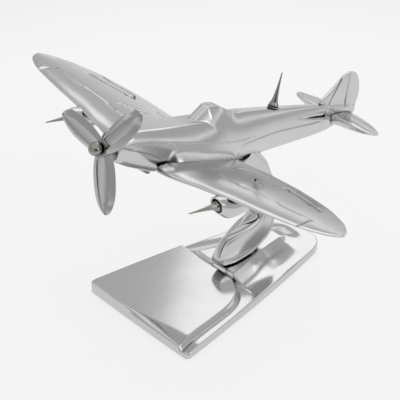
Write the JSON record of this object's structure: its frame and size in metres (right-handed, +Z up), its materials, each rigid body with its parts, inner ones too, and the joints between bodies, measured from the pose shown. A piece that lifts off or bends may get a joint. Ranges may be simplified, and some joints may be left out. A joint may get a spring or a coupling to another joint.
{
  "type": "desk aeroplane model",
  "caption": "Polished cast-metal desk model of a single-engined low-wing fighter, nose-up on a crescent pylon and sculpted base, with a propeller that spins.",
  "frame": {"origin": "on the ground below the middle of the whole model's bounding box", "axes": "+X to the model's port wing tip, -Y the way the nose points, +Z up"},
  "size_m": [0.4, 0.3374, 0.2542],
  "materials": {
    "polished_casting": "polished",
    "satin_casting": "satin polished",
    "nickel": "mirror",
    "steel": "turned",
    "brass": "turned",
    "felt": "felt"
  },
  "bodies": {
    "body": {"fuselage_casting": "polished_casting", "lower_cowl_casting": "polished_casting", "chin_intake": "satin_casting", "wing_casting": "polished_casting", "tail_casting": "polished_casting", "wing_screw_front": "steel", "wing_screw_rear": "steel", "cowl_screw": "steel", "pylon_stud_front": "steel", "pylon_stud_rear": "steel", "tail_dowel_upper": "steel", "tail_dowel_lower": "steel", "propeller_stud": "steel", "propeller_rear_washer": "steel", "propeller_front_washer": "steel", "spinner_ball_nut": "nickel", "cannon_spike_port": "nickel", "cannon_collar_port": "steel", "cannon_spike_starboard": "nickel", "cannon_collar_starboard": "steel", "mast_spike": "nickel", "mast_collar": "steel", "pylon_casting": "polished_casting", "base_casting": "polished_casting", "base_felt": "felt", "base_screw_front": "steel", "base_washer_front": "steel", "base_screw_rear": "steel", "base_washer_rear": "steel"},
    "propeller": {"propeller_casting": "satin_casting", "propeller_bush": "brass"}
  },
  "joints": [
    {"name": "propeller_spin", "type": "hinge", "parent": "body", "child": "propeller", "pos_m": [0, -0.1514, 0.2108], "axis": [0, -0.95, 0.3123], "continuous": true}
  ]
}
